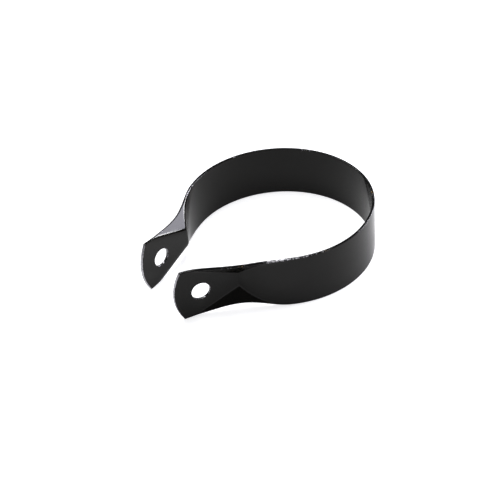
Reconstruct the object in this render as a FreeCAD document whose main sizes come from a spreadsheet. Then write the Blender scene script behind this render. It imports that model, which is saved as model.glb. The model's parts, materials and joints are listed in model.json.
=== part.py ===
import FreeCAD, Part
import os

import Sketcher

# One-piece band clamp: a steel strip bent into an open ring with two ears.
# Frame: +Z along the bore, origin at its centre halfway up the band, ears towards -Y.
# The strip springs about its back, so it is two halves with a thin slit between them.
# The right half (+X) is a PartDesign body and the left half is its mirror image.
# All values are in millimetres and degrees.

DIMENSIONS = [
    ("bore_radius", 33.5, "inside radius of the ring as bent"),
    ("band_width", 20.0, "width of the strip"),
    ("band_thickness", 1.0, "thickness of the strip"),
    ("flex_gap", 0.3, "clearance between the halves at the back, where the strip flexes"),
    ("corner_angle", 27.0, "from the middle plane to the corner where ring turns into ear"),
    ("ear_toe_in", 14.0, "how far each ear leans towards the other"),
    ("ear_length", 24.0, "from the corner to the middle of the ear's tip"),
    ("tip_radius", 18.3, "radius of the ear's end"),
    ("hole_radius", 3.3, "clearance hole for an M6 screw"),
    ("hole_distance", 14.3, "from the corner to the middle of the hole"),
    ("crease_height", 6.0, "height of the plain corner between its two gussets"),
    ("gusset_arc", 30.0, "angle of the ring that a gusset takes up"),
    ("gusset_reach", 17.6, "length of the ear that a gusset takes up"),
    ("waist_depth", 1.75, "how far each edge is drawn in at the corner"),
    ("waist_radius", 70.0, "radius of the drawn-in edge"),
    ("margin", 2.0, "how far cutting shapes run past what they cut"),
]

PLANE_AXES = {
    "XY_Plane": (lambda x, y: (x, y, "0"), FreeCAD.Vector(0, 0, 1)),
    "XZ_Plane": (lambda x, y: (x, "0", f"-({y})"), FreeCAD.Vector(0, 1, 0)),
    "YZ_Plane": (lambda x, y: (y, "0", x), FreeCAD.Vector(0, 1, 0)),
}


def d(alias):
    return f"Dimensions.{alias}"


# Shared places, as expressions on the sheet: the corner on the inner face, and the two
# ends of the gusset's upper edge, one on the ring and one on the ear.
CORNER_X = f"{d('bore_radius')} * sin({d('corner_angle')})"
CORNER_Y = f"-{d('bore_radius')} * cos({d('corner_angle')})"
RING_END_X = f"{d('bore_radius')} * sin({d('corner_angle')} + {d('gusset_arc')})"
RING_END_Y = f"-{d('bore_radius')} * cos({d('corner_angle')} + {d('gusset_arc')})"
EAR_END_X = f"({CORNER_X} - {d('gusset_reach')} * sin({d('ear_toe_in')}))"
EAR_END_Y = f"({CORNER_Y} - {d('gusset_reach')} * cos({d('ear_toe_in')}))"
GUSSET_TURN = f"atan2({RING_END_X} - {EAR_END_X}; {RING_END_Y} - {EAR_END_Y})"
GUSSET_DEPTH = (
    f"(({RING_END_X} - {CORNER_X}) * cos({GUSSET_TURN})"
    f" - ({RING_END_Y} - ({CORNER_Y})) * sin({GUSSET_TURN}))"
)
HALF_WIDTH = f"{d('band_width')} / 2"
HALF_CREASE = f"{d('crease_height')} / 2"
GUSSET_SLOPE = f"({GUSSET_DEPTH} / ({HALF_WIDTH} - {HALF_CREASE}))"
GUSSET_LENGTH = f"2 * ({d('gusset_reach')} + 1)"
# The corner frame is turned with the ear, the gusset frame with the gusset's upper edge.
CORNER_FRAME = (CORNER_X, CORNER_Y, f"-{d('ear_toe_in')}")
GUSSET_FRAME = (CORNER_X, CORNER_Y, f"-({GUSSET_TURN})")
RING_FRAME = ("0", "0", "0")


def make_sheet(doc):
    sheet = doc.addObject("Spreadsheet::Sheet", "Dimensions")
    for row, (alias, value, meaning) in enumerate(DIMENSIONS, start=1):
        sheet.set(f"A{row}", alias)
        sheet.set(f"B{row}", str(value))
        sheet.setAlias(f"B{row}", alias)
        sheet.set(f"C{row}", meaning)
    doc.recompute()
    return sheet


class BodyBuilder:
    """Adds sketches and features to one body, each sketch in a frame (x, y, turn about Z)."""

    def __init__(self, doc, label):
        self.doc = doc
        self.body = doc.addObject("PartDesign::Body", label)
        self.body.Label = label

    def value(self, expression):
        result = self.doc.Dimensions.evalExpression(expression)
        return float(getattr(result, "Value", result))

    def sketch(self, name, role, frame):
        sketch = self.body.newObject("Sketcher::SketchObject", name)
        planes = {f.Role: f for f in self.body.Origin.OriginFeatures}
        sketch.AttachmentSupport = [(planes[role], "")]
        sketch.MapMode = "FlatFace"
        base, axis = PLANE_AXES[role]
        x, y, turn = frame
        sketch.AttachmentOffset = FreeCAD.Placement(
            FreeCAD.Vector(0, 0, 0), FreeCAD.Rotation(axis, 10)
        )
        for component, expression in zip("xyz", base(x, y)):
            sketch.setExpression(
                f"AttachmentOffset.Base.{component}", f"({expression}) * 1 mm"
            )
        sketch.setExpression("AttachmentOffset.Rotation.Angle", f"({turn}) * 1 deg / 1 deg")
        return sketch

    def bind(self, sketch, index, name, expression):
        sketch.renameConstraint(index, name)
        sketch.setExpression(f"Constraints.{name}", f"({expression}) * 1 mm")

    def pin(self, sketch, geometry, point, x, y, name):
        for kind, expression in (("DistanceX", x), ("DistanceY", y)):
            value = self.value(expression)
            index = sketch.addConstraint(
                Sketcher.Constraint(kind, -1, 1, geometry, point, value)
            )
            self.bind(sketch, index, f"{name}_{kind[-1]}", expression)

    def circle(self, sketch, x, y, radius, name):
        centre = FreeCAD.Vector(self.value(x), self.value(y), 0)
        shape = Part.Circle(centre, FreeCAD.Vector(0, 0, 1), self.value(radius))
        geometry = sketch.addGeometry(shape, False)
        self.pin(sketch, geometry, 3, x, y, name)
        index = sketch.addConstraint(
            Sketcher.Constraint("Radius", geometry, self.value(radius))
        )
        self.bind(sketch, index, f"{name}_radius", radius)

    def polygon(self, sketch, points, name):
        at = [FreeCAD.Vector(self.value(x), self.value(y), 0) for x, y in points]
        lines = [
            sketch.addGeometry(Part.LineSegment(a, b), False)
            for a, b in zip(at, at[1:] + at[:1])
        ]
        for line, following in zip(lines, lines[1:] + lines[:1]):
            sketch.addConstraint(Sketcher.Constraint("Coincident", line, 2, following, 1))
        for number, (line, (x, y)) in enumerate(zip(lines, points)):
            self.pin(sketch, line, 1, x, y, f"{name}{number}")
        return lines

    def feature(self, kind, name, sketch, length=None, one_way=False):
        feature = self.body.newObject(f"PartDesign::{kind}", name)
        feature.Profile = sketch
        if length is None:
            feature.Type = "ThroughAll"
        else:
            feature.setExpression("Length", f"({length}) * 1 mm")
        if not one_way:
            feature.SideType = "Symmetric"
        sketch.Visibility = False
        before = self.body.Shape.Volume if self.body.Shape.Solids else 0.0
        self.doc.recompute()
        change = feature.Shape.Volume - before
        grows = kind == "Pad"
        if abs(change) < 0.01 or (change > 0) != grows:
            raise RuntimeError(f"{name} changed the volume by {change:.3f}")
        print(f"{name}: {change:+.2f} mm3")
        return feature


def both_ways_up(builder, sketch, points, name):
    """The same polygon above and below the middle plane of the band."""
    builder.polygon(sketch, points, f"{name}_top")
    builder.polygon(sketch, [(x, f"-({y})") for x, y in points], f"{name}_low")


def make_right_half(doc):
    b = BodyBuilder(doc, "band_right")

    ring = b.sketch("RingOutline", "XY_Plane", RING_FRAME)
    b.circle(ring, "0", "0", f"{d('bore_radius')} + {d('band_thickness')}", "outline")
    b.feature("Pad", "RingBlank", ring, d("band_width"))

    # The ear seen from its side: it starts inside the ring and ends in an arc.
    ear = b.sketch("EarOutline", "YZ_Plane", CORNER_FRAME)
    top, low = HALF_WIDTH, f"-{HALF_WIDTH}"
    root = f"2 * {d('margin')}"
    arc_centre = f"{d('tip_radius')} - {d('ear_length')}"
    shoulder = f"({arc_centre} - sqrt({d('tip_radius')}^2 - ({HALF_WIDTH})^2))"
    corners = [(shoulder, low), (root, low), (root, top), (shoulder, top)]
    at = [FreeCAD.Vector(b.value(x), b.value(y), 0) for x, y in corners]
    lines = [
        ear.addGeometry(Part.LineSegment(p, q), False) for p, q in zip(at, at[1:])
    ]
    tip = FreeCAD.Vector(-b.value(d("ear_length")), 0, 0)
    end = ear.addGeometry(Part.Arc(at[3], tip, at[0]), False)
    for line, following in ((lines[0], lines[1]), (lines[1], lines[2])):
        ear.addConstraint(Sketcher.Constraint("Coincident", line, 2, following, 1))
    ear.addConstraint(Sketcher.Constraint("Coincident", lines[2], 2, end, 1))
    ear.addConstraint(Sketcher.Constraint("Coincident", lines[0], 1, end, 2))
    for number, (line, (x, y)) in enumerate(zip(lines, corners)):
        b.pin(ear, line, 1, x, y, f"corner{number}")
    b.pin(ear, lines[2], 2, *corners[3], "corner3")
    radius = ear.addConstraint(
        Sketcher.Constraint("Radius", end, b.value(d("tip_radius")))
    )
    b.bind(ear, radius, "tip_radius", d("tip_radius"))
    b.circle(ear, f"-{d('hole_distance')}", "0", d("hole_radius"), "screw_hole")
    b.feature("Pad", "Ear", ear, d("band_thickness"), one_way=True)

    # Gussets: the flat facets that stiffen the corner above and below its crease.
    outer = b.sketch("GussetOutline", "XZ_Plane", GUSSET_FRAME)
    foot = f"{HALF_CREASE} - {d('band_thickness')} / {GUSSET_SLOPE}"
    reach = f"{GUSSET_DEPTH} + {d('band_thickness')}"
    both_ways_up(b, outer, [("0", foot), (reach, HALF_WIDTH), ("0", HALF_WIDTH)], "blank")
    b.feature("Pad", "GussetBlank", outer, GUSSET_LENGTH)

    bore = b.sketch("BoreOutline", "XY_Plane", RING_FRAME)
    b.circle(bore, "0", "0", d("bore_radius"), "bore")
    b.feature("Pocket", "Bore", bore)

    between = b.sketch("EarGapOutline", "XY_Plane", CORNER_FRAME)
    far = f"-2 * {d('bore_radius')}"
    beyond = f"-({d('ear_length')} + {d('margin')})"
    b.polygon(between, [("0", "0"), (far, "0"), (far, beyond), ("0", beyond)], "gap")
    b.feature("Pocket", "EarGap", between)

    inner = b.sketch("GussetInside", "XZ_Plane", GUSSET_FRAME)
    above = f"{HALF_WIDTH} + {d('margin')}"
    top_reach = f"{GUSSET_DEPTH} + {d('margin')} * {GUSSET_SLOPE}"
    both_ways_up(b, inner, [("0", HALF_CREASE), (top_reach, above), ("0", above)], "cut")
    b.feature("Pocket", "GussetRelief", inner, GUSSET_LENGTH)

    waist = b.sketch("WaistOutline", "YZ_Plane", GUSSET_FRAME)
    height = f"{HALF_WIDTH} - {d('waist_depth')} + {d('waist_radius')}"
    b.circle(waist, "0", height, d("waist_radius"), "top")
    b.circle(waist, "0", f"-({height})", d("waist_radius"), "low")
    b.feature("Pocket", "Waist", waist, f"2 * ({reach} + {d('margin')})")

    slit = b.sketch("SlitOutline", "XY_Plane", RING_FRAME)
    side = f"{d('flex_gap')} / 2"
    outside = f"{d('bore_radius')} + {d('ear_length')} + {d('margin')}"
    b.polygon(
        slit,
        [(side, f"-({outside})"), (side, outside), (f"-({outside})", outside),
         (f"-({outside})", f"-({outside})")],
        "slit",
    )
    b.feature("Pocket", "Slit", slit)
    b.body.Tip = doc.Slit
    return b.body


def make_left_half(doc, source):
    half = doc.addObject("Part::Mirroring", "band_left")
    half.Label = "band_left"
    half.Source = source
    half.Normal = FreeCAD.Vector(1, 0, 0)
    half.Base = FreeCAD.Vector(0, 0, 0)
    return half


def check(doc, parts):
    bad = [o.Name for o in doc.Objects if set(o.State) & {"Invalid", "Error"}]
    if bad:
        raise RuntimeError(f"not computed: {bad}")
    for part in parts:
        shape = part.Shape
        if shape.isNull() or not shape.isValid() or len(shape.Solids) != 1:
            raise RuntimeError(f"{part.Label} isn't one valid solid")


document = FreeCAD.newDocument("BandClamp")
make_sheet(document)
right_half = make_right_half(document)
halves = [right_half, make_left_half(document, right_half)]
document.recompute()
check(document, halves)
os.makedirs("parts", exist_ok=True)
for half in halves:
    half.Shape.exportStep(f"parts/{half.Label}.step")
    box = half.Shape.BoundBox
    print(f"{half.Label}: {half.Shape.Volume:.1f} mm3, {box}")
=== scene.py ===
import json
import math

import bmesh
import bpy
import numpy as np
from mathutils import Matrix, Vector


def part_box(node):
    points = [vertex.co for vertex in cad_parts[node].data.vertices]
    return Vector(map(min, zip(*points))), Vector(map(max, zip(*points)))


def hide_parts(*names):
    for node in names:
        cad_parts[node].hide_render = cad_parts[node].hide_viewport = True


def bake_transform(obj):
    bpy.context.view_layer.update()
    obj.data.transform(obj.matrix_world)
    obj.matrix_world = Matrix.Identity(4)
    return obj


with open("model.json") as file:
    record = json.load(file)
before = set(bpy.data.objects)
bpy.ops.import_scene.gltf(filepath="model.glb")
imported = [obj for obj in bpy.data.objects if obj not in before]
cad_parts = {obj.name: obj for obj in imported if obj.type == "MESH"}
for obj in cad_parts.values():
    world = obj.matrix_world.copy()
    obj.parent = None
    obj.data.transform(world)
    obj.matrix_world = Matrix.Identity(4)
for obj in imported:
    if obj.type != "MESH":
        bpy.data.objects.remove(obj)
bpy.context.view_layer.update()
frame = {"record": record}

# Band clamp of black enamelled steel: one strip, bent into an open ring with two ears.
# Shapes are worked out in millimetres and put into the meshes in metres.
# s runs along the strip from the middle of its back, t across it, h out of its middle layer.

mm = 0.001


def sizesFromFrame():
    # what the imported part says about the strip: ring, holes, and where the right ear lies
    mounts = {mount["name"]: mount for mount in frame["record"]["mounts"]}
    bore, hole = mounts["hose_bore"], mounts["right_screw_hole"]
    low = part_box("band_right")[0]
    out = np.array(hole["axis"][:2], float)
    return {
        "boreRadius": bore["dims"]["r_mm"],
        "width": bore["dims"]["length_mm"],
        "thickness": hole["dims"]["length_mm"],
        "holeRadius": hole["dims"]["r_mm"],
        "holeCentre": np.array(hole["pos_m"][:2]) / mm,
        "earOut": out,  # square to the ear, away from the other ear
        "earAlong": np.array([out[1], -out[0]]),  # down the ear to its tip
        "tipY": low.y / mm,
        "floorZ": low.z / mm,
    }


strip = sizesFromFrame()
strip.update({
    "cornerBend": 0.7,  # bend radius of the middle layer where ring turns into ear
    "creaseHeight": 6.0,  # plain corner between its two gussets
    "gussetArc": math.radians(30.0),  # of the ring
    "gussetReach": 17.6,  # of the ear
    "waistDepth": 1.85,  # each edge is drawn in this far at the corner
    "waistOnRing": 19.0,  # and less and less for this far from it
    "waistOnEar": 21.0,
    "creaseSoftness": 0.3,  # the gusset's creases are pressed, so they are a little round
    "waistSoftness": 0.4,  # and the drawing in starts as gently above the plain corner
    "gussetEndSlope": 0.35,  # how fast the ring leaves the gusset's plane past its end
    "tipRadius": 18.3,
    "edgeRound": 0.28,  # rolled-over corner of the sheared edge
    "holeRound": 0.2,
    "ringStep": 1.0,  # mesh spacing on the plain ring
    "fineStep": 0.33,  # and round the corners and ears
    "fineLead": 4.0,  # the fine spacing starts this far short of the gusset
    "normalStep": 0.01,  # distance over which the surface's slope is taken
    "patchMargin": 2.6,  # from the hole's edge to the line where the ear's patch starts
    "tipPoints": 52,
    "shoulderPoints": 34,
    "patchRings": 20,
    "rimPoints": 5,  # on each part of the cut edge's profile
    "weld": 0.002,  # points closer than this are one
    "flexHalf": 20.0,  # how far each side of the middle of its back the strip flexes on the real clamp
})

wornCoat = {
    "endLength": 3.2,  # of each ear's tip, rubbed all round
    "endFade": 0.6,
    "roughStart": 8.0,  # from the right corner back along the ring
    "roughStartFade": 3.0,
    "roughEnd": 27.0,
    "roughEndFade": 6.0,
    "rough": 0.6,  # amounts: 0 is whole, 1 is rubbed
    "hole": 0.38,
}


def softRamp(x, softness):
    # zero below, x above, with a round change between the two: k * ln(1 + e^(x / k))
    return softness * np.logaddexp(0.0, x / softness)


def meetRing(radius, out):
    # the point at that radius on the line that runs along the ear, out from its inner face
    start = strip["holeCentre"] + strip["earOut"] * (out - strip["thickness"] / 2)
    along = start @ strip["earAlong"]
    step = -along + math.sqrt(along**2 - start @ start + radius**2)
    return start + strip["earAlong"] * step


def planOfStrip():
    # ring, corner and ear of the right half in plan, for the middle layer, and the gusset's plane
    inner, wall, bend = strip["boreRadius"], strip["thickness"], strip["cornerBend"]
    ringRadius = inner + wall / 2
    corner = meetRing(inner, 0.0)
    bendCentre = meetRing(ringRadius + bend, wall / 2 + bend)
    ringTurn = math.atan2(bendCentre[0], bendCentre[1])
    towards = -bendCentre / np.linalg.norm(bendCentre)
    bendTurn = math.acos(towards @ -strip["earOut"])
    earStart = bendCentre - strip["earOut"] * bend
    lean = -strip["earAlong"][1]
    tipOuter = (corner + strip["earOut"] * wall)[1]
    earLength = (tipOuter - strip["tipY"]) / lean
    earRun = earLength - (earStart - corner) @ strip["earAlong"]
    ringLength, bendLength = ringRadius * ringTurn, bend * bendTurn
    ringEndTurn = math.pi - math.atan2(corner[0], -corner[1]) - strip["gussetArc"]
    ringEnd = inner * np.array([math.sin(ringEndTurn), math.cos(ringEndTurn)])
    earEnd = corner + strip["earAlong"] * strip["gussetReach"]
    chord = (ringEnd - earEnd) / np.linalg.norm(ringEnd - earEnd)
    gussetOut = np.array([chord[1], -chord[0]])
    halfCrease = strip["creaseHeight"] / 2
    slope = (ringEnd - corner) @ gussetOut / (strip["width"] / 2 - halfCrease)
    return {
        "ringRadius": ringRadius, "corner": corner, "bendCentre": bendCentre,
        "bendStart": towards, "earStart": earStart,
        "ringLength": ringLength, "bendEnd": ringLength + bendLength,
        "halfLength": ringLength + bendLength + earRun,
        "gussetOut": gussetOut, "gussetSlope": slope, "halfCrease": halfCrease,
        "cornerRun": ringLength + bendLength / 2,
        "gussetRingEnd": ringRadius * ringEndTurn,
        "hole": ringLength + bendLength + (strip["holeCentre"] - earStart) @ strip["earAlong"],
    }


plan = planOfStrip()


def midLine(s):
    # plan of the middle layer: an arc about the bore, a small arc the other way, a straight ear;
    # the left half is the right one with x turned over
    run = np.abs(s)
    turn = np.minimum(run, plan["ringLength"]) / plan["ringRadius"]
    ring = plan["ringRadius"] * np.stack([np.sin(turn), np.cos(turn)], -1)
    past = np.clip(run - plan["ringLength"], 0, plan["bendEnd"] - plan["ringLength"])
    angle = past / strip["cornerBend"]
    startX, startY = plan["bendStart"]
    arm = np.stack([
        startX * np.cos(angle) - startY * np.sin(angle),
        startX * np.sin(angle) + startY * np.cos(angle),
    ], -1)
    bend = plan["bendCentre"] + strip["cornerBend"] * arm
    ear = plan["earStart"] + strip["earAlong"] * (run - plan["bendEnd"])[..., None]
    line = np.where((run < plan["ringLength"])[..., None], ring, bend)
    return np.where((run < plan["bendEnd"])[..., None], line, ear)


def middleLayer(s, t):
    # the strip's middle layer: its plan raised to height t, then pushed out to the gusset's
    # plane wherever the plan lies inside that plane; each edge is drawn in at the corner by a
    # squared cosine, and what lies between the edge and the plain corner shares that out
    line = midLine(s)
    halfWidth, halfCrease = strip["width"] / 2, plan["halfCrease"]
    outside = (line - plan["corner"]) @ plan["gussetOut"] - strip["thickness"] / 2
    beyond = plan["gussetRingEnd"] - np.abs(s)
    endLine = midLine(np.array(plan["gussetRingEnd"])) - plan["corner"]
    endOutside = endLine @ plan["gussetOut"] - strip["thickness"] / 2
    outside = np.where(beyond > 0, endOutside + strip["gussetEndSlope"] * beyond, outside)
    along = np.abs(s) - plan["cornerRun"]
    reach = np.where(along < 0, strip["waistOnRing"], strip["waistOnEar"])
    drawnIn = strip["waistDepth"] * np.cos(math.pi / 2 * np.clip(along / reach, -1, 1)) ** 2
    share = softRamp(np.abs(t) - halfCrease, strip["waistSoftness"]) / (halfWidth - halfCrease)
    height = np.abs(t) - drawnIn * share
    push = softRamp(
        (height - halfCrease) * plan["gussetSlope"] - outside, strip["creaseSoftness"]
    )
    line = line + push[..., None] * plan["gussetOut"]
    side = np.where(s < 0, -1.0, 1.0)
    return np.stack([side * line[..., 0], line[..., 1], np.sign(t) * height], -1)


def bentStrip(s, t, h):
    # a point of the flat strip after bending: the middle layer, plus h along its outward
    # normal, and nothing stands past the strip's width
    step = strip["normalStep"]
    alongStrip = middleLayer(s + step, t) - middleLayer(s - step, t)
    acrossStrip = middleLayer(s, t + step) - middleLayer(s, t - step)
    normal = np.cross(acrossStrip, alongStrip)
    normal /= np.linalg.norm(normal, axis=-1, keepdims=True)
    point = middleLayer(s, t) + np.asarray(h)[..., None] * normal
    halfWidth = strip["width"] / 2
    point[..., 2] = np.clip(point[..., 2], -halfWidth, halfWidth)
    return point


def spaced(start, end, step):
    # evenly spaced values from start to end, no further apart than step
    return np.linspace(start, end, max(2, int(math.ceil(abs(end - start) / step)) + 1))


def stationsAlong():
    # places along the strip between the two ear patches: finer round the corners
    join = plan["hole"] - strip["holeRadius"] - strip["patchMargin"]
    fineFrom = plan["gussetRingEnd"] - strip["fineLead"]
    half = np.concatenate([
        spaced(0, fineFrom, strip["ringStep"])[:-1],
        spaced(fineFrom, join, strip["fineStep"]),
    ])
    return np.concatenate([-half[:0:-1], half])


stations = stationsAlong()
rows = spaced(-1, 1, 2 * strip["fineStep"] / strip["width"])  # share of the half width


def earOutline(inset):
    # edge of the right ear past its patch's start, upper corner to lower, moved in by inset
    halfWidth, join = strip["width"] / 2 - inset, stations[-1]
    centre, radius = plan["halfLength"] - strip["tipRadius"], strip["tipRadius"] - inset
    opening = math.asin(halfWidth / radius)
    tip = np.linspace(opening, -opening, strip["tipPoints"])
    shoulder = centre + radius * math.cos(opening)
    upper = np.linspace(join, shoulder, strip["shoulderPoints"])[:-1]
    s = np.concatenate([upper, centre + radius * np.cos(tip), upper[::-1]])
    t = np.concatenate([
        np.full(upper.size, halfWidth), radius * np.sin(tip), np.full(upper.size, -halfWidth)
    ])
    return s, t


def outline(inset):
    # the whole blank's edge, once round, moved in by inset
    earS, earT = earOutline(inset)
    halfWidth = strip["width"] / 2 - inset
    middle = stations[1:-1]
    s = np.concatenate([middle, earS, middle[::-1], -earS])
    t = np.concatenate([
        np.full(middle.size, halfWidth), earT, np.full(middle.size, -halfWidth), -earT
    ])
    return s, t


def earLoop(inset):
    # closed boundary of the ear's patch: its outline, then back up the line where it starts
    earS, earT = earOutline(inset)
    line = rows[1:-1] * (strip["width"] / 2 - inset)
    return np.concatenate([earS, np.full(line.size, stations[-1])]), np.concatenate([earT, line])


def holeLoop(grow):
    # a circle about the hole, each point in line with one of the patch's boundary
    s, t = earLoop(strip["edgeRound"])
    angle = np.arctan2(t, s - plan["hole"])
    radius = strip["holeRadius"] + grow
    return plan["hole"] + radius * np.cos(angle), radius * np.sin(angle)


def rimProfile(roundness):
    # (inset, height) down the cut edge: quarter round, straight wall, quarter round
    turn = np.linspace(0, math.pi / 2, strip["rimPoints"])
    half = strip["thickness"] / 2
    inset = roundness * (1 - np.sin(turn))
    height = half - roundness * (1 - np.cos(turn))
    wall = np.linspace(height[-1], -height[-1], strip["rimPoints"])[1:-1]
    return list(zip(
        np.concatenate([inset, np.zeros(wall.size), inset[::-1]]),
        np.concatenate([height, wall, -height[::-1]]),
    ))


def gridFaces(rowCount, columnCount, closed, flip):
    # quads of a grid of points, its columns joined up where it is closed
    last = columnCount if closed else columnCount - 1
    i, j = np.meshgrid(np.arange(rowCount - 1), np.arange(last), indexing="ij")
    k = (j + 1) % columnCount
    quads = np.stack([i, i + 1, i + 1, i], -1) * columnCount + np.stack([j, j, k, k], -1)
    quads = quads.reshape(-1, 4)
    return quads[:, ::-1] if flip else quads


class Patches:
    # grids of points that become one mesh
    def __init__(self):
        self.points, self.faces, self.maps, self.slots, self.wear = [], [], [], [], []
        self.count = 0

    def add(self, points, uv, slot, wear=0.0, closed=False, flip=False):
        rowCount, columnCount = points.shape[:2]
        faces = gridFaces(rowCount, columnCount, closed, flip)
        self.points.append(points.reshape(-1, 3))
        self.faces.append(faces + self.count)
        self.maps.append(uv.reshape(-1, 2)[faces])
        self.slots.append(np.full(len(faces), slot))
        self.wear.append(np.broadcast_to(wear, (rowCount, columnCount)).ravel())
        self.count += rowCount * columnCount


def addFaceLayers(patches):
    # the flat faces, inside and outside: a plain grid, and round each hole a ring of quads
    inset = strip["edgeRound"]
    s, t = np.meshgrid(stations, rows * (strip["width"] / 2 - inset))
    outerS, outerT = earLoop(inset)
    innerS, innerT = holeLoop(strip["holeRound"])
    share = np.linspace(0, 1, strip["patchRings"])[:, None]
    earS = innerS + (outerS - innerS) * share
    earT = innerT + (outerT - innerT) * share
    for h, flip in ((strip["thickness"] / 2, True), (-strip["thickness"] / 2, False)):
        level = np.full(s.shape, h)
        patches.add(bentStrip(s, t, level), np.stack([s, t], -1), 0, flip=flip)
        level = np.full(earS.shape, h)
        for side in (1, -1):
            points = bentStrip(side * earS, earT, level)
            uv = np.stack([side * earS, earT], -1)
            patches.add(points, uv, 0, closed=True, flip=flip == (side < 0))


def addRims(patches):
    # the sheared edges: a profile carried round the outline and round each hole
    profile = rimProfile(strip["edgeRound"])
    edge = [(*outline(inset), height) for inset, height in profile]
    addRim(patches, edge, edgeWear, flip=False)
    profile = rimProfile(strip["holeRound"])
    for side in (1, -1):
        hole = [(*holeLoop(inset), height) for inset, height in profile]
        hole = [(side * s, t, height) for s, t, height in hole]
        addRim(patches, hole, holeWear, flip=side > 0)


def edgeWear(s, t):
    # the coat is rubbed off the ends of the ears, and hardly at all along the strip but for
    # one rough length of the right half's upper edge, on the ring side of its corner
    toTip = plan["halfLength"] - np.abs(s)
    ends = np.clip((wornCoat["endLength"] - toTip) / wornCoat["endFade"], 0, 1)
    fromCorner = plan["cornerRun"] - s
    start = np.clip((fromCorner - wornCoat["roughStart"]) / wornCoat["roughStartFade"], 0, 1)
    end = np.clip((wornCoat["roughEnd"] - fromCorner) / wornCoat["roughEndFade"], 0, 1)
    return np.maximum(ends, wornCoat["rough"] * start * end * (t > 0))


def holeWear(s, t):
    # the same all round a hole
    return np.full(s.shape, wornCoat["hole"])


def addRim(patches, loops, wearAt, flip):
    # rows of (s, t, height), one loop for each point of the profile; the pattern runs round
    # by the length of the middle row, and through the strip by the height
    s = np.array([loop[0] for loop in loops])
    t = np.array([loop[1] for loop in loops])
    h = np.array([np.full(loop[0].shape, loop[2]) for loop in loops])
    points = bentStrip(s, t, h)
    wallS, wallT = s[len(loops) // 2], t[len(loops) // 2]
    steps = np.hypot(np.diff(wallS, prepend=wallS[-1]), np.diff(wallT, prepend=wallT[-1]))
    run = np.cumsum(steps)
    uv = np.stack([np.broadcast_to(run, h.shape), h], -1)
    patches.add(points, uv, 1, wearAt(s, t), closed=True, flip=flip)


def makeBand():
    patches = Patches()
    addFaceLayers(patches)
    addRims(patches)
    mesh = bpy.data.meshes.new("band")
    mesh.from_pydata(np.concatenate(patches.points) * mm, [], np.concatenate(patches.faces).tolist())
    uvLayer = mesh.uv_layers.new(name="strip")
    uvLayer.data.foreach_set("uv", (np.concatenate(patches.maps).ravel() * mm).astype(np.float32))
    wearLayer = mesh.attributes.new("wear", "FLOAT", "POINT")
    wearLayer.data.foreach_set("value", np.concatenate(patches.wear).astype(np.float32))
    mesh.polygons.foreach_set("material_index", np.concatenate(patches.slots).astype(np.int32))
    mesh.polygons.foreach_set("use_smooth", np.ones(len(mesh.polygons), bool))
    welded = bmesh.new()
    welded.from_mesh(mesh)
    bmesh.ops.remove_doubles(welded, verts=welded.verts, dist=strip["weld"] * mm)
    bmesh.ops.recalc_face_normals(welded, faces=welded.faces)
    openEdges = sum(1 for edge in welded.edges if len(edge.link_faces) != 2)
    volume = welded.calc_volume(signed=True)
    welded.to_mesh(mesh)
    welded.free()
    print(f"band: blank {2 * plan['halfLength']:.1f} mm long, {volume / mm**3:.1f} mm3, "
          f"{len(mesh.polygons)} faces, {openEdges} open edges")
    band = bpy.data.objects.new("band", mesh)
    bpy.context.scene.collection.objects.link(band)
    return band


def linear(hexColour):
    # sRGB hex to the linear colour that a shader takes
    parts = [int(hexColour[i:i + 2], 16) / 255 for i in (1, 3, 5)]
    return [p / 12.92 if p <= 0.04045 else ((p + 0.055) / 1.055) ** 2.4 for p in parts] + [1.0]


def addNode(tree, kind, settings=None, *feeds, **links):
    # one node: settings by attribute or by input name; feeds, in the order of its inputs, are
    # values or other nodes' outputs; links are outputs by input name
    node = tree.nodes.new(kind)
    for name, value in (settings or {}).items():
        if name in node.inputs:
            node.inputs[name].default_value = value
        else:
            setattr(node, name, value)
    for socket, feed in zip(node.inputs, feeds):
        if isinstance(feed, bpy.types.NodeSocket):
            tree.links.new(feed, socket)
        else:
            socket.default_value = feed
    for name, output in links.items():
        tree.links.new(output, node.inputs[name.replace("_", " ")])
    return node


def newMaterial(name):
    # an empty material, and its nodes
    material = bpy.data.materials.new(name)
    material.use_nodes = True
    material.node_tree.nodes.clear()
    return material, material.node_tree


enamel = {
    "colour": "#100f0c",
    "edgeColour": "#0a0a0b",
    "roughness": 0.12,
    "edgeRoughness": 0.18,
    "edgeSpecular": 0.22,
    "specular": 0.18,
    "ripple": 1.6,  # mm, size of the enamel's orange peel
    "rippleHeight": 0.02,  # mm
    "rippleStrength": 0.25,
    "sheenSize": 9,  # mm, slow changes of gloss
    "sheenFrom": 0.3,  # of the noise, where the gloss is highest
    "sheenTo": 0.7,  # and lowest
    "glossier": 0.05,  # taken from the roughness there
    "duller": 0.06,  # and added to it
    "edgeGrain": 0.35,  # mm, torn metal under the enamel of the sheared edge
    "edgeGrainHeight": 0.08,  # mm
    "edgeGrainStrength": 0.5,
    "wearSize": 14,  # mm, stretches of edge with more or fewer specks
    "speckSize": 0.5,  # mm
    "wornFrom": 0.34,  # of the two noises' product, whole coat
    "wornTo": 0.40,  # and bare steel
    "rubbedGain": 0.22,  # added to that product where the coat is rubbed off
    "tarnishSize": 5,  # mm
    "brownFrom": 0.52,  # of the tarnish noise, clean steel
    "brownTo": 0.6,  # and brown
    "steelColour": "#adacb1",
    "brownColour": "#8f7446",
    "steelRoughness": 0.35,
}


def stripCoordinates(tree):
    # millimetres along and across the strip, so patterns stay on the metal as it flexes
    uv = addNode(tree, "ShaderNodeUVMap", {"uv_map": "strip"})
    return addNode(tree, "ShaderNodeVectorMath", {"operation": "SCALE", "Scale": 1 / mm},
                   Vector=uv.outputs["UV"]).outputs["Vector"]


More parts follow.
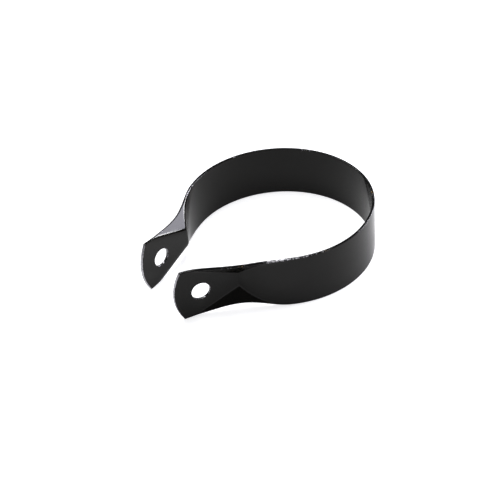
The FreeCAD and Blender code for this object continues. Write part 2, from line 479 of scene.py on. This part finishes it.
def glossBlackEnamel():
    # dipped and stoved black enamel on steel: a dark wet gloss with a faint orange peel
    # and slow changes of sheen where the coat ran thinner
    material, tree = newMaterial("glossBlackEnamel")
    place = stripCoordinates(tree)
    ripple = addNode(tree, "ShaderNodeTexNoise",
                     {"Scale": 1 / enamel["ripple"], "Detail": 2.0, "Roughness": 0.5}, Vector=place)
    slow = addNode(tree, "ShaderNodeTexNoise",
                   {"Scale": 1 / enamel["sheenSize"], "Detail": 3.0}, Vector=place)
    sheen = addNode(tree, "ShaderNodeMapRange",
                    {"From Min": enamel["sheenFrom"], "From Max": enamel["sheenTo"],
                     "To Min": enamel["roughness"] - enamel["glossier"],
                     "To Max": enamel["roughness"] + enamel["duller"]},
                    Value=slow.outputs["Fac"])
    bump = addNode(tree, "ShaderNodeBump",
                   {"Strength": enamel["rippleStrength"], "Distance": enamel["rippleHeight"] * mm},
                   Height=ripple.outputs["Fac"])
    shader = addNode(tree, "ShaderNodeBsdfPrincipled",
                     {"Base Color": linear(enamel["colour"]),
                      "Specular IOR Level": enamel["specular"]},
                     Roughness=sheen.outputs["Result"], Normal=bump.outputs["Normal"])
    addNode(tree, "ShaderNodeOutputMaterial", Surface=shader.outputs["BSDF"])
    return material


def enamelledShearedEdge():
    # the cut edge of the strip: enamel over torn metal, rough to the light, worn in specks
    # to bright steel
    material, tree = newMaterial("enamelledShearedEdge")
    place = stripCoordinates(tree)
    grain = addNode(tree, "ShaderNodeTexNoise",
                    {"Scale": 1 / enamel["edgeGrain"], "Detail": 3.0}, Vector=place)
    bump = addNode(tree, "ShaderNodeBump",
                   {"Strength": enamel["edgeGrainStrength"],
                    "Distance": enamel["edgeGrainHeight"] * mm},
                   Height=grain.outputs["Fac"])
    coat = addNode(tree, "ShaderNodeBsdfPrincipled",
                   {"Base Color": linear(enamel["edgeColour"]),
                    "Roughness": enamel["edgeRoughness"],
                    "Specular IOR Level": enamel["edgeSpecular"]},
                   Normal=bump.outputs["Normal"])
    rubbed = addNode(tree, "ShaderNodeAttribute", {"attribute_name": "wear"}).outputs["Fac"]
    tarnish = addNode(tree, "ShaderNodeTexNoise",
                      {"Scale": 1 / enamel["tarnishSize"], "Detail": 1.0}, Vector=place)
    tarnished = addNode(tree, "ShaderNodeMath", {"operation": "SUBTRACT"},
                        tarnish.outputs["Fac"], rubbed)
    brown = addNode(tree, "ShaderNodeMapRange",
                    {"From Min": enamel["brownFrom"], "From Max": enamel["brownTo"]},
                    Value=tarnished.outputs["Value"])
    tint = addNode(tree, "ShaderNodeMix", {"data_type": "RGBA"}, brown.outputs["Result"])
    colours = [socket for socket in tint.inputs if socket.type == "RGBA"]
    colours[0].default_value = linear(enamel["steelColour"])
    colours[1].default_value = linear(enamel["brownColour"])
    tinted = [socket for socket in tint.outputs if socket.type == "RGBA"][0]
    steel = addNode(tree, "ShaderNodeBsdfPrincipled",
                    {"Metallic": 1.0, "Roughness": enamel["steelRoughness"]},
                    Base_Color=tinted, Normal=bump.outputs["Normal"])
    patches = addNode(tree, "ShaderNodeTexNoise",
                      {"Scale": 1 / enamel["wearSize"], "Detail": 1.0}, Vector=place)
    specks = addNode(tree, "ShaderNodeTexNoise",
                     {"Scale": 1 / enamel["speckSize"], "Detail": 2.0}, Vector=place)
    product = addNode(tree, "ShaderNodeMath", {"operation": "MULTIPLY"},
                      patches.outputs["Fac"], specks.outputs["Fac"])
    spots = addNode(tree, "ShaderNodeMath", {"operation": "MULTIPLY_ADD"},
                    rubbed, enamel["rubbedGain"], product.outputs["Value"])
    worn = addNode(tree, "ShaderNodeMapRange",
                   {"From Min": enamel["wornFrom"], "From Max": enamel["wornTo"]},
                   Value=spots.outputs["Value"])
    mixed = addNode(tree, "ShaderNodeMixShader", {}, worn.outputs["Result"],
                    coat.outputs["BSDF"], steel.outputs["BSDF"])
    addNode(tree, "ShaderNodeOutputMaterial", Surface=mixed.outputs["Shader"])
    return material


stage = {
    "floorColour": "#e6e6e6",
    "floorSize": 4.0,  # m
    "floorDrop": 0.0001,  # m, just clear of the strip's lower edge
    "floorLift": 0.8,  # light that the lens sees from the white floor itself
    "liftColour": "#fdfdff",
    "floorShare": 0.5,  # how much of that the gloss mirrors
    "worldColour": "#ffffff",
    "worldLevel": 0.08,  # its light on everything else
    "worldShare": 0.11,  # how much of the white surroundings the gloss mirrors
}


def whiteToLens(tree, share):
    # 1 where a ray comes from the lens, and a share of that in what the gloss mirrors
    rays = addNode(tree, "ShaderNodeLightPath").outputs
    mirrored = addNode(tree, "ShaderNodeMath", {"operation": "MAXIMUM"},
                       rays["Is Glossy Ray"], rays["Is Transmission Ray"])
    both = addNode(tree, "ShaderNodeMath", {"operation": "MULTIPLY_ADD"},
                   mirrored.outputs["Value"], share, rays["Is Camera Ray"])
    return both.outputs["Value"]


def mattePaperFloor():
    # white background paper: matte, and bright enough to the lens to read as white
    material, tree = newMaterial("mattePaperFloor")
    paper = addNode(tree, "ShaderNodeBsdfDiffuse", {"Color": linear(stage["floorColour"])})
    level = addNode(tree, "ShaderNodeMath", {"operation": "MULTIPLY"},
                    whiteToLens(tree, stage["floorShare"]), stage["floorLift"])
    lift = addNode(tree, "ShaderNodeEmission", {"Color": linear(stage["liftColour"])},
                   Strength=level.outputs["Value"])
    both = addNode(tree, "ShaderNodeAddShader", {}, paper.outputs["BSDF"], lift.outputs["Emission"])
    addNode(tree, "ShaderNodeOutputMaterial", Surface=both.outputs["Shader"])
    return material


def makeFloor():
    half = stage["floorSize"] / 2
    mesh = bpy.data.meshes.new("floor")
    level = strip["floorZ"] * mm - stage["floorDrop"]
    corners = [(-half, -half, level), (half, -half, level), (half, half, level), (-half, half, level)]
    mesh.from_pydata(corners, [], [(0, 1, 2, 3)])
    floor = bpy.data.objects.new("floor", mesh)
    bpy.context.scene.collection.objects.link(floor)
    mesh.materials.append(mattePaperFloor())


def makeWorld():
    world = bpy.data.worlds.new("studio")
    bpy.context.scene.world = world
    world.use_nodes = True
    tree = world.node_tree
    tree.nodes.clear()
    level = addNode(tree, "ShaderNodeMapRange",
                    {"To Min": stage["worldLevel"], "To Max": 1.0},
                    Value=whiteToLens(tree, stage["worldShare"]))
    sky = addNode(tree, "ShaderNodeBackground", {"Color": linear(stage["worldColour"])},
                  Strength=level.outputs["Result"])
    addNode(tree, "ShaderNodeOutputWorld", Surface=sky.outputs["Background"])


softBoxes = {  # where each shines from, its distance and size in m, its power in W
    "overhead": {
        "from": (-0.15, 0.1, 1.0), "distance": 0.9, "size": (0.5, 0.5),
        "power": 4.2, "colour": "#ffffff",
    },
    "backRight": {
        "from": (0.2, 0.97, 0.27), "distance": 0.7, "size": (0.44, 0.3),
        "power": 5.4, "colour": "#f3f2ff",
    },
    "lowStrip": {
        "from": (0.3, 0.95, 0.045), "distance": 0.68, "size": (0.36, 0.06),
        "power": 4.5, "colour": "#ffffff",
    },
    "leftHigh": {
        "from": (-0.6, -0.05, 0.8), "distance": 0.9, "size": (0.3, 0.3),
        "power": 3.0, "colour": "#ffffff",
    },
}


def makeSoftBoxes():
    # each is turned to the clamp
    for name, box in softBoxes.items():
        lamp = bpy.data.lights.new(name, "AREA")
        lamp.shape = "RECTANGLE"
        lamp.size, lamp.size_y = box["size"]
        lamp.energy = box["power"]
        lamp.color = linear(box["colour"])[:3]
        holder = bpy.data.objects.new(name, lamp)
        bpy.context.scene.collection.objects.link(holder)
        towards = Vector(box["from"]).normalized()
        holder.location = towards * box["distance"]
        holder.rotation_mode = "QUATERNION"
        holder.rotation_quaternion = towards.to_track_quat("Z", "Y")


camera = {
    "azimuth": 54.0,
    "elevation": 36.6,
    "roll": -3.6,
    "distance": 423.0,  # mm from the bore's centre
    "lens": 83.8,
    "shift": (-0.0595, -0.055),
    "clip": (0.01, 20.0),  # m
}


def makeCamera():
    azimuth, elevation = math.radians(camera["azimuth"]), math.radians(camera["elevation"])
    back = Vector((
        math.sin(azimuth) * math.cos(elevation),
        -math.cos(azimuth) * math.cos(elevation),
        math.sin(elevation),
    ))
    lens = bpy.data.cameras.new("camera")
    lens.lens = camera["lens"]
    lens.shift_x, lens.shift_y = camera["shift"]
    lens.clip_start, lens.clip_end = camera["clip"]
    holder = bpy.data.objects.new("camera", lens)
    bpy.context.scene.collection.objects.link(holder)
    holder.location = back * camera["distance"] * mm
    turn = (-back).to_track_quat("-Z", "Y").to_matrix()
    holder.rotation_euler = (turn @ Matrix.Rotation(math.radians(camera["roll"]), 3, "Z")).to_euler()
    bpy.context.scene.camera = holder


print("camera and studio")
makeCamera()
makeFloor()
makeWorld()
makeSoftBoxes()
bpy.context.scene.view_settings.view_transform = "Standard"

print("band")
band = makeBand()

print("enamel and sheared edge")
band.data.materials.append(glossBlackEnamel())
band.data.materials.append(enamelledShearedEdge())

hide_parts("band_left", "band_right")
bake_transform(band)
